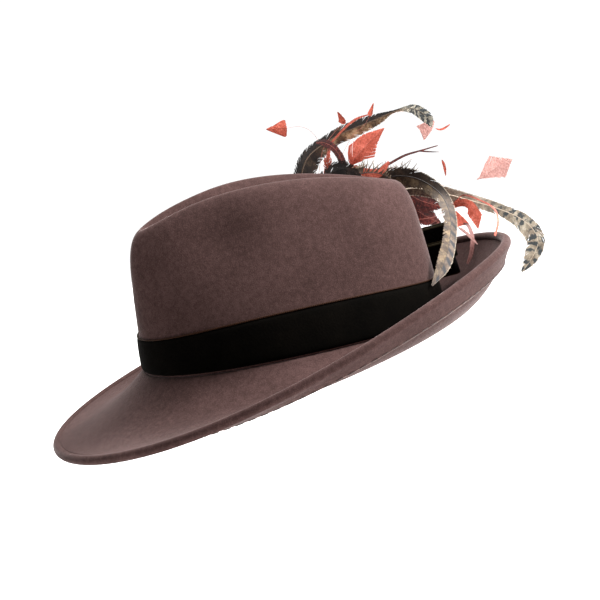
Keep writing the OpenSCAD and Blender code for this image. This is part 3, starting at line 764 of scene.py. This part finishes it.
def make_knot():
    """The short ribbon wrapped round the middle, with soft upright folds."""
    g = around(KNOT_AROUND)
    v = np.linspace(-1, 1, KNOT_ACROSS)
    cy = np.sign(np.cos(g)) * np.abs(np.cos(g)) ** KNOT_SQUARENESS
    cz = np.sign(np.sin(g)) * np.abs(np.sin(g)) ** KNOT_SQUARENESS
    fold = 1 - 0.05 * (0.5 + 0.5 * np.cos(v * 9.5)) - 0.08 * np.abs(v) ** 6
    y = KNOT_INNER + KNOT_DEPTH / 2 + KNOT_DEPTH / 2 * cy[None] * fold[:, None]
    z = KNOT_LEVEL + (BOW_RIBBON / 2 + 4) * cz[None] * (0.5 + 0.5 * fold[:, None])
    x = np.broadcast_to(KNOT_LENGTH / 2 * v[:, None], y.shape)
    points = np.stack([x, y, z], -1).reshape(-1, 3)
    uv = np.stack([np.tile(g * 0.01, KNOT_ACROSS), np.repeat(v, KNOT_AROUND)], -1)
    faces = tube_faces(KNOT_ACROSS, KNOT_AROUND, inward=True)
    add_piece("bow_knot_wrap", on_bow(points), faces, [bow_ribbon], ["bow_knot"], "velvet", uv=uv)


make_knot()

# ---------- Felt disc that holds the quills ----------
MOUNT_ANGLE, MOUNT_SHARE, MOUNT_RADIUS, MOUNT_THICKNESS, MOUNT_COLUMNS = 241, 0.43, 16, 2, 72
# (share of the radius, height in millimetres), from the back's middle round the edge to the front's middle
MOUNT_PROFILE = ((0.02, 0), (0.97, 0), (1.0, 0.3), (1.0, 1.6), (0.97, 1.9), (0.6, 2.0), (0.02, 2.0))
QUILL_CLEARANCE = 0.9
mount_centre = wall_point(MOUNT_ANGLE, MOUNT_SHARE)
mount_up = unit(wall_point(MOUNT_ANGLE, MOUNT_SHARE + 0.05) - wall_point(MOUNT_ANGLE, MOUNT_SHARE - 0.05))
mount_back = unit(wall_point(MOUNT_ANGLE - 3, MOUNT_SHARE) - wall_point(MOUNT_ANGLE + 3, MOUNT_SHARE))
mount_out = unit(np.cross(mount_up, mount_back))


def make_mount_disc():
    g = around(MOUNT_COLUMNS)[:, None]
    ring = np.cos(g) * mount_up + np.sin(g) * np.cross(mount_out, mount_up)
    points = np.concatenate([mount_centre + mount_out * (LAYER_GAP + up) + ring * MOUNT_RADIUS * share
                             for share, up in MOUNT_PROFILE])
    faces = tube_faces(len(MOUNT_PROFILE), MOUNT_COLUMNS, inward=True)
    add_piece("feather_disc", points, faces, [felt_top], ["feather_mount"], "felt")


make_mount_disc()

# ---------- Feathers ----------
VANE_FACE = unit((1, -0.1, 0.1))
SPAN_STEPS = 24
QUILL_STEPS, QUILL_SIDES = 70, 6


def quill_end(back, up, half=0):
    """The first point of a route, on the felt disc."""
    rise = LAYER_GAP + MOUNT_THICKNESS + QUILL_CLEARANCE
    return [*(mount_centre + mount_back * back + mount_up * up + mount_out * rise), half]


def full_point(x, y, z, upper=0, lower=None):
    """A route's point with both of the vane's half widths; one that stands alone is for both sides."""
    return [x, y, z, upper, upper if lower is None else lower]


class Course:
    """A smooth course through a route's points, with its own frame and half widths at each distance."""

    def __init__(self, route):
        p = np.array([full_point(*point) for point in route], float)
        last = len(p) - 1
        u = np.linspace(0, last, last * SPAN_STEPS + 1)
        i = np.minimum(np.floor(u).astype(int), last - 1)
        f = (u - i)[:, None]
        p0, p1, p2, p3 = p[np.maximum(i - 1, 0)], p[i], p[i + 1], p[np.minimum(i + 2, last)]
        q = 0.5 * (2 * p1 + (p2 - p0) * f + (2 * p0 - 5 * p1 + 4 * p2 - p3) * f**2
                   + (3 * p1 - p0 - 3 * p2 + p3) * f**3)
        self.place = q[:, :3]
        self.half = np.maximum(q[:, 3:], 0)
        steps = np.linalg.norm(np.diff(self.place, axis=0), axis=1)
        self.distance = np.concatenate([[0], np.cumsum(steps)])
        self.length = self.distance[-1]
        self.tangent = unit(np.gradient(self.place, axis=0))
        self.side = unit(np.cross(VANE_FACE, self.tangent))
        self.normal = np.cross(self.tangent, self.side)

    def at(self, values, s):
        return np.stack([np.interp(s, self.distance, values[:, k]) for k in range(values.shape[1])], -1)


def quill_mesh(course, thick, thin):
    """Points, faces and map of the tapered quill."""
    share = np.linspace(0, 1, QUILL_STEPS)
    s = share * course.length
    p, a, b = course.at(course.place, s), course.at(course.side, s), course.at(course.normal, s)
    radius = thick + (thin - thick) * share**0.7
    g = around(QUILL_SIDES)[None, :, None]
    points = p[:, None] + (np.cos(g) * a[:, None] + np.sin(g) * b[:, None]) * radius[:, None, None]
    uv = np.stack([np.repeat(s / 10, QUILL_SIDES), np.zeros(len(s) * QUILL_SIDES)], -1)
    return points.reshape(-1, 3), tube_faces(QUILL_STEPS, QUILL_SIDES), uv


def barb_mesh(course, draw, spacing, angle, breadth, ragged, start=0.0, end=1.0, sides=(1, -1), curl=0.0,
              lift=0.0, lie=0.07, clump=0.0, reach=1.0, segments=4, shape=None, taper=0.6):
    """Points, faces and map of the barbs on both sides of a quill; each ends at the vane's outline.

    Barbs stand every so many millimetres (spacing), lean from the quill (angle), are so wide (breadth) and
    narrow towards their ends (taper). They bend in their plane (curl) and out of it (lift), lie in two
    thin layers (lie), gather in tufts (clump), and fall short of the outline at random (ragged) or pass
    it (reach). A shape is a list of (distance from the tip, upper width, lower width) with straight edges
    between; a width that stands alone is for both sides.
    """
    points, faces, uv = [], [], []
    if shape:
        start = 1 - shape[-1][0] / course.length
    rows = np.arange(start * course.length, end * course.length, spacing)
    steps = np.linspace(0, 1, segments + 1)
    for sign in sides:
        widths = course.half[:, 0 if sign > 0 else 1]
        if shape:
            from_tip, outline = zip(*((place, half[0 if sign > 0 else -1]) for place, *half in shape))
            widths = np.interp(course.length - course.distance, from_tip, outline, right=0)
        for number, s0 in enumerate(rows):
            a = math.radians(angle + draw.normal(0, 2.0 + 10 * ragged) + clump * math.sin(s0 * 1.9 + sign))
            share = 1 - abs(draw.normal(0, ragged))
            longest = 3.2 * max(widths.max(), 1)
            l = np.linspace(0, longest, 60)
            out = l * math.sin(a)
            forth = s0 + l * math.cos(a)
            room = np.interp(forth, course.distance, widths) * share * reach
            inside = (out <= room) & (forth <= course.length) & (forth >= 0)
            count = int(np.argmin(inside)) if not inside.all() else len(l)
            if count < 2:
                continue
            length = l[count - 1]
            bent = a * (1 + curl * steps)
            part = length * np.diff(steps, prepend=0)
            outs = np.cumsum(part * np.sin(bent))
            forths = np.clip(s0 + np.cumsum(part * np.cos(bent)), 0, course.length)
            p = course.at(course.place, forths)
            t, side, normal = (course.at(v, forths) for v in (course.tangent, course.side, course.normal))
            local = np.maximum(np.interp(forths, course.distance, widths), 0.3)
            layer = lie * (1 if number % 2 else -1) + draw.normal(0, 0.3 * lie)
            height = layer + lift * (outs / max(widths.max(), 1)) ** 2
            middle = p + side * (sign * outs)[:, None] + normal * height[:, None]
            c, d = np.cos(bent)[:, None], np.sin(bent)[:, None]
            across = -t * d + side * sign * c
            half = (0.5 * breadth * (1 - taper * steps**2))[:, None]
            roll = normal * (0.22 * sign * half)
            first = len(points)
            points.extend(middle + across * half + roll)
            points.extend(middle - across * half - roll)
            n = segments + 1
            faces.extend((k, k + 1, n + k + 1, n + k) for k in range(first, first + segments))
            row = np.stack([forths / 10, sign * np.minimum(outs / local, 1)], -1)
            uv.extend(row)
            uv.extend(row)
    return points, faces, uv


def feather(name, node, seed, vane, quill, slot, route, *layers, body="hat", thick=0.8, thin=0.15):
    """A feather piece: its quill and one or more layers of barbs. Its route starts with a quill_end."""
    course = Course([quill_end(*route[0]), *route[1:]])
    draw = np.random.default_rng(seed)
    points, faces, uv = quill_mesh(course, thick, thin)
    points, uv = list(points), list(uv)
    indices = [1] * len(faces)
    for layer in layers:
        p, f, m = barb_mesh(course, draw, **layer)
        faces = faces + [tuple(k + len(points) for k in face) for face in f]
        points.extend(p)
        uv.extend(m)
        indices.extend([0] * len(f))
    add_piece(name, points, faces, [vane, quill], [node], slot, body=body, uv=uv, indices=indices)


pheasant_dark = barb_material(
    "pheasant_dark",
    [(0.38, (0.004, 0.003, 0.002)), (0.54, (0.015, 0.008, 0.005)), (0.66, (0.12, 0.066, 0.030))],
    lower=[(0.38, (0.030, 0.017, 0.009)), (0.5, (0.13, 0.078, 0.040)), (0.64, (0.46, 0.33, 0.19))],
    tip=(14.4, 15.2, [(0.35, (0.20, 0.18, 0.14)), (0.5, (0.45, 0.41, 0.33)), (0.65, (0.75, 0.70, 0.58))]),
    bars=1.9, bar_colour=(0.030, 0.038, 0.042), bar_share=0.62, slant=-0.3, bar_strength=0.95, wobble=1.2,
    broken=0.38, bars_from=(14.4, 15.4), root_gap=0.1,
    root=(8.0, 10.0, [(0.36, (0.003, 0.002, 0.002)), (0.52, (0.009, 0.005, 0.004)),
                      (0.68, (0.045, 0.024, 0.012))]))
# its cream edge on the upper side only is a painted highlight where the light catches the vane's outer edge
pheasant_tan = barb_material(
    "pheasant_tan", tones((0.050, 0.031, 0.022), (0.105, 0.070, 0.048), (0.21, 0.150, 0.105)),
    lower=tones((0.026, 0.016, 0.010), (0.095, 0.060, 0.034), (0.29, 0.205, 0.115)),
    bars=0.95, bar_colour=(0.018, 0.020, 0.026), bar_share=0.42, slant=-0.35, bar_strength=0.9, wobble=0.4,
    broken=0.30, bars_from=(12.0, 14.0), bars_upper_only=True, edge=(0.88, (0.42, 0.34, 0.25), False),
    root=(12.0, 17.0, [(0.3, (0.010, 0.006, 0.004)), (0.5, (0.030, 0.018, 0.012)),
                       (0.7, (0.095, 0.058, 0.036))]))
pheasant_cream = barb_material(
    "pheasant_cream", tones((0.15, 0.110, 0.078), (0.30, 0.245, 0.18), (0.56, 0.49, 0.38)),
    bars=1.4, bar_colour=(0.030, 0.040, 0.048), bar_share=0.54, slant=-0.2, bar_strength=0.94, wobble=0.8,
    broken=0.42, bars_from=(12.5, 15.0), edge=(0.90, (0.58, 0.50, 0.39), True),
    root=(10.0, 13.5, [(0.3, (0.014, 0.007, 0.006)), (0.5, (0.050, 0.024, 0.017)),
                       (0.7, (0.19, 0.12, 0.075))]))
quill_tan = thread_material("quill_tan", (0.10, 0.06, 0.035))
quill_dark = thread_material("quill_dark", (0.02, 0.012, 0.01))
quill_pale = thread_material("quill_pale", (0.55, 0.45, 0.34))
DOWN_TONES = [(0.3, (0.004, 0.003, 0.003)), (0.5, (0.010, 0.006, 0.005)), (0.7, (0.035, 0.018, 0.012))]
down = barb_material("down", DOWN_TONES)
down_tipped = barb_material(
    "down_tipped", DOWN_TONES,
    tip=(4.8, 5.6, tones((0.030, 0.016, 0.010), (0.11, 0.066, 0.040), (0.34, 0.24, 0.16))),
    edge=(0.7, (0.40, 0.31, 0.22), False))


def coral_material(name, *colours):
    return barb_material(name, tones(*colours), streak=0.6)


coral = coral_material("coral", (0.36, 0.058, 0.032), (0.58, 0.110, 0.065), (0.78, 0.21, 0.14))
coral_deep = coral_material("coral_deep", (0.014, 0.003, 0.003), (0.055, 0.008, 0.007), (0.20, 0.030, 0.022))
coral_pale = coral_material("coral_pale", (0.44, 0.20, 0.175), (0.56, 0.285, 0.25), (0.72, 0.43, 0.39))
coral_dusk = coral_material("coral_dusk", (0.09, 0.030, 0.026), (0.19, 0.068, 0.058), (0.32, 0.15, 0.13))
quill_coral = thread_material("quill_coral", (0.40, 0.10, 0.07))
quill_red = thread_material("quill_red", (0.13, 0.020, 0.014))
quill_faint = thread_material("quill_faint", (0.66, 0.44, 0.39))

PHEASANT = dict(spacing=0.55, angle=32, breadth=0.95, ragged=0.05, curl=-0.12, lift=-1.0, reach=1.16)
FLUFF = dict(PHEASANT, spacing=1.3, angle=52, breadth=0.9, start=0.10, end=0.40, ragged=0.26, sides=(1,),
             reach=1.6, clump=14, curl=0.7, lift=0.8, taper=0.8)
feather(
    "front_pheasant_plume", "pheasant_feather_front", 11, pheasant_dark, quill_tan, "pheasant_dark",
    [(-8, -6, 0.8), [-72, 46, 72, 5, 7], [-77, 57, 105, 5, 9.5], [-79, 78.5, 117, 4.5, 6],
     [-78.5, 96, 121.5, 5, 6], [-77, 114, 125, 3.5, 4.2], [-76, 129, 128, 0.9], [-76, 142, 127, 3, 3.5],
     [-76, 151, 119, 4], [-76, 153, 112, 0.8]],
    PHEASANT, body="front_pheasant")
feather(
    "centre_pheasant_plume", "pheasant_feather_centre", 12, pheasant_tan, quill_dark, "pheasant_tan",
    [(0, -4, 0.8), [-69, 67, 58, 4], [-68, 88, 75, 6.5, 8], [-64, 109, 85, 6.5, 8.5],
     [-52, 126, 82, 5.5, 6.5], [-34, 135, 70, 5, 5.5], [-10, 130, 57, 4.8, 5], [14, 117, 44, 5],
     [34, 103, 34, 5], [48, 87, 24, 0.6]],
    dict(PHEASANT, start=0.08), FLUFF, body="centre_pheasant")
feather(
    "rear_pheasant_plume", "pheasant_feather_rear", 13, pheasant_cream, quill_pale, "pheasant_cream",
    [(8, -8, 0.8), [-74, 84, 54, 4], [-73, 108, 71, 5], [-69, 126, 74, 5], [-66, 140, 70, 5],
     [-62, 160, 61, 4.5], [-57, 187, 47, 4, 4.5], [-55, 203, 35, 5, 7.5], [-55, 210, 21, 5.5, 8],
     [-55, 203, 9, 4.5, 6], [-56, 194, 1, 0.6]],
    PHEASANT, body="rear_pheasant")

DOWN = dict(spacing=0.5, angle=40, breadth=0.8, ragged=0.22, curl=0.35, lift=1.5, clump=12, lie=0.3,
            reach=0.95)
feather(
    "front_down", "dark_feather_front", 21, down, quill_dark, "dark_feather",
    [(-9, 12, 1), [-57, 50, 78, 3], [-56, 62, 93, 5], [-56, 71, 98, 5.5], [-56, 80, 97, 5],
     [-56, 89, 90, 1]],
    DOWN, DOWN)
feather(
    "rear_down", "dark_feather_rear", 22, down_tipped, quill_dark, "dark_feather",
    [(-2, 14, 0.8), [-59, 62, 74, 3], [-58.5, 78, 89, 5], [-58.5, 90, 92, 6], [-58.5, 102, 90, 5],
     [-58.5, 111, 84, 1]],
    dict(DOWN, end=0.66), dict(DOWN, end=0.66),
    dict(DOWN, start=0.62, spacing=1.5, angle=50, breadth=1.0, curl=0.8, sides=(1,), reach=1.5, taper=0.8))

# the colour, quill and slot of clipped feathers
BRIGHT, DEEP = (coral, quill_coral, "coral"), (coral_deep, quill_coral, "coral_deep")
PALE = (coral_pale, quill_faint, "coral_pale")
CLIPPED = dict(spacing=0.34, angle=30, breadth=0.62, ragged=0.015, lie=0.025, segments=3, taper=0.1)
SWEPT_BACK = 150


def clipped(shape=None, **changes):
    return dict(CLIPPED, shape=shape, **changes)


def coral_feather(node, seed, colour, quill, slot, route, *layers, thick=0.28, thin=0.12):
    """A dyed and clipped feather on the hat's own body, named after its node."""
    feather(node + "_feather", node, seed, colour, quill, slot, route, *layers, thick=thick, thin=thin)


coral_feather(
    "coral_fan", 31, *BRIGHT,
    [(-14, 2), [-88, 38, 66], [-92, 64, 96], [-92, 74, 114], [-92, 71, 124], [-92, 64, 129],
     [-92, 57, 130, 0.6], [-92, 54, 130, 6], [-92, 39, 132]],
    clipped([(0, 0.2), (13, 6), (14.5, 5.5), (15, 0)], angle=SWEPT_BACK, clump=6), thin=0.07)
coral_feather(
    "coral_spur", 32, *BRIGHT,
    [(-8, 2), [-68, 54, 72], [-72, 64, 96], [-70, 70, 113], [-69, 80, 123, 1], [-68, 86, 128, 2.6],
     [-68, 84, 136]],
    clipped([(0, 0.15), (7.5, 2.7, 2.5), (8.8, 2.2), (9.3, 0)], angle=SWEPT_BACK), thin=0.07)
coral_feather(
    "coral_long_sliver", 33, *BRIGHT,
    [(-6, 5.5), [-67, 58, 74], [-73, 69, 98], [-72, 74, 112], [-71, 84, 121, 1], [-70, 96, 128, 1],
     [-69, 108, 130]],
    clipped([(0, 0.1), (12, 0.9, 0.5), (38, 0.4, 0.3), (40, 0)], angle=12))
coral_feather(
    "coral_small_arrow", 34, *BRIGHT,
    [(-3, 4.5), [-65, 64, 76], [-67, 80, 104], [-66, 92, 119, 0.6], [-66, 98, 122, 1],
     [-66, 104, 127, 2.6], [-66, 110, 137]],
    clipped([(0, 0.15), (7.5, 1.8, 1.6), (8.8, 1.3), (9.2, 0)], angle=SWEPT_BACK), thin=0.05)
coral_feather(
    "coral_large_diamond", 35, *BRIGHT,
    [(-0.5, 7.5), [-66, 66, 68], [-69, 80, 87, 0.8], [-68, 86, 96, 3], [-66, 91, 103, 12, 11],
     [-66, 103, 112, 7, 6], [-66, 115, 119]],
    clipped([(0, 0.2), (13, 5.8, 5.2), (16.5, 7.3, 7.2), (22.5, 8.6, 10.3), (27.5, 9.3, 5.5), (30, 10, 5),
            (35, 3.5, 0.5), (36, 0)], angle=58, clump=4, curl=-0.4, reach=1.2))
coral_feather(
    "coral_strap", 36, *DEEP,
    [(-5, 8.5), [-61, 60, 77, 0.6], [-62, 74, 90, 1.5], [-62, 79, 101, 2.5], [-62, 76, 111, 2.5],
     [-62, 70, 117, 2.5], [-62, 63, 119, 0.6]],
    clipped())
coral_feather(
    "coral_tuft", 37, coral, quill_coral, "coral_pale",
    [(-10, 7), [-64, 55, 80], [-66, 69, 96, 1], [-66, 70, 104, 3], [-66, 73, 112, 1]],
    clipped([(0, 0.3), (8, 3.6, 3.4), (20, 3.6, 3.2), (24, 0)], angle=26, spacing=0.7, clump=14, ragged=0.4))
coral_feather(
    "coral_forked_stem", 38, coral_deep, quill_red, "coral_pale",
    [(5, 7.5), [-85, 65, 67], [-80, 92, 82], [-71, 106, 90, 0.8], [-70, 117, 94, 0.9],
     [-70, 128, 97, 0.8], [-70, 140, 98, 0.7], [-70, 153, 99]],
    clipped([(0, 0.1), (30, 0.75, 0.65), (62, 0.9, 0.8), (64, 0)], angle=12),
    clipped([(0, 0, 8), (13, 0, 8), (14, 0)], angle=27, spacing=20, breadth=1.1, taper=0.8, curl=-0.3,
            sides=(-1,)), thick=0.4, thin=0.15)
coral_feather(
    "coral_hooked_stem", 39, coral, quill_faint, "coral_pale",
    [(6.5, 12), [-87, 70, 69], [-84, 96, 77], [-74, 112, 87], [-72, 125, 92], [-72, 143, 94],
     [-72, 153, 91, 0.6], [-72, 156, 85, 1], [-72, 156, 77]],
    clipped([(0, 0.1), (5, 0.9), (10.5, 0.8), (11.5, 0)], angle=14), thick=0.25, thin=0.05)
coral_feather(
    "coral_arrowhead", 40, *PALE,
    [(-13, 6), [-83, 34, 68], [-87, 50, 92], [-86, 70, 108], [-85, 96, 118], [-84, 120, 124],
     [-84, 136, 126], [-84, 148, 122, 0.6], [-84, 152, 114, 7.5], [-84, 149, 103]],
    clipped([(0, 0.2), (11, 7.2), (12.3, 6.6), (12.9, 0)], angle=SWEPT_BACK), thick=0.25, thin=0.05)
coral_feather(
    "coral_sliver", 41, coral, quill_faint, "coral_pale",
    [(-14, -2), [-87, 32, 64], [-93, 50, 92], [-90, 75, 107], [-89, 98, 116], [-88, 121, 121],
     [-88, 138, 123], [-88, 151, 117], [-88, 163, 108, 1], [-88, 172, 110]],
    clipped([(0, 0.1), (5, 0.8, 0.5), (10.5, 0.3), (12, 0)], angle=12), thick=0.25, thin=0.05)
coral_feather(
    "coral_pale_diamond", 42, *PALE,
    [(13.8, -7), [-88, 84, 46], [-97, 108, 57], [-97, 130, 66], [-92, 150, 70], [-86, 168, 67],
     [-84, 183, 68, 0.6], [-84, 198, 73, 9.5], [-84, 213, 77]],
    clipped([(0, 0.2), (10.8, 7.5, 9.6), (14.4, 10, 7.6), (28, 0.8, 0.6), (32, 0)], angle=36),
    thick=0.25, thin=0.08)
coral_feather(
    "coral_under_leaf", 43, *BRIGHT,
    [(2.5, 13), [-62, 70, 80, 0.6], [-61.5, 84, 96, 2], [-60.5, 91, 93, 3], [-60.5, 103, 90, 3],
     [-60.5, 112, 96, 0.8]],
    clipped())
coral_feather(
    "coral_low_leaf_upper", 44, *DEEP,
    [(12, 0.5), [-80, 78, 60], [-86, 102, 74, 1], [-84, 124, 73, 6], [-84, 139, 62, 6],
     [-84, 155, 54]],
    clipped([(0, 1), (12, 7.5), (28, 8.5), (42, 5), (50, 0)], angle=34, clump=9, ragged=0.12),
    clipped([(0, 1), (14, 8.5, 9), (34, 8.5), (48, 0)], angle=46, clump=14, ragged=0.3, spacing=0.7,
            lift=3.0))
coral_feather(
    "coral_low_leaf_lower", 45, *DEEP,
    [(9, -11.5), [-84, 82, 40], [-90, 104, 54, 1], [-88, 126, 62, 6], [-88, 141, 51, 6],
     [-88, 153, 42]],
    clipped([(0, 1), (12, 7.0), (26, 8), (40, 5), (48, 0)], angle=34, clump=9, ragged=0.12),
    clipped([(0, 1), (14, 8, 8.5), (32, 8), (46, 0)], angle=46, clump=14, ragged=0.3, spacing=0.7, lift=3.0))
coral_feather(
    "coral_triangle", 46, *BRIGHT,
    [(3, -11), [-86, 90, 36], [-83, 118, 40], [-73, 136, 45], [-66, 145, 49, 0.8],
     [-66, 155, 46, 5.5], [-66, 165, 41]],
    clipped([(0, 0.2), (11.5, 6.4), (13, 5.6), (13.5, 0)], angle=SWEPT_BACK), thin=0.07)
coral_feather(
    "coral_rear_arrow", 47, *BRIGHT,
    [(6.5, -13), [-79, 92, 34], [-77, 120, 38], [-64, 138, 45], [-54, 147, 56, 0.8],
     [-48, 156, 59, 4], [-46, 162, 53, 8], [-46, 163, 39]],
    clipped([(0, 0.2), (9, 4.6), (13, 3.2, 5.4), (17, 3), (30, 2), (34, 0)], angle=30))
coral_feather(
    "coral_strand", 48, coral, quill_coral, "coral_deep",
    [(6.5, -9.5), [-84, 92, 42], [-80, 122, 50], [-68, 142, 51], [-54, 153, 60], [-40, 154, 65, 1],
     [-20, 157, 62, 1.4], [0, 158, 57, 1.4], [15, 153, 50, 1], [25, 145, 43]],
    clipped([(0, 0.5), (14, 0.95, 0.9), (30, 0.5), (60, 0.35, 0.3), (95, 0.3), (97, 0)], angle=9,
            spacing=0.6))
coral_feather(
    "coral_drooping_strip", 49, coral_dusk, quill_red, "coral",
    [(3.5, -14.3), [-79, 94, 30], [-70, 122, 34], [-52, 139, 42], [-30, 147, 47, 1],
     [-18, 146, 43, 1.8], [-10, 143, 38, 1.8], [-6, 139, 30, 1.5], [-4, 134, 24]],
    clipped([(0, 0.6), (10, 1.8), (26, 1.8, 1.6), (40, 1.0), (42, 0)], angle=12, spacing=0.6))
coral_feather(
    "coral_white_sliver", 50, *PALE,
    [(11.2, -9.2), [-78, 94, 41], [-63, 124, 43], [-44, 137, 47], [-22, 137, 48, 0.6],
     [-10, 139, 44, 1], [0, 142, 36]],
    clipped([(0, 0.1), (8, 1.2, 1.0), (20, 0.9, 0.8), (22, 0)], angle=12))

# ---------- Finish the pieces that stay as packed ----------
for node, material in (("brim_wire", steel), ("brim_edge_stitching", felt_thread),
                       ("head_ribbon_stitching", dark_thread)):
    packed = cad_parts[node]
    packed.data.materials.clear()
    packed.data.materials.append(material)
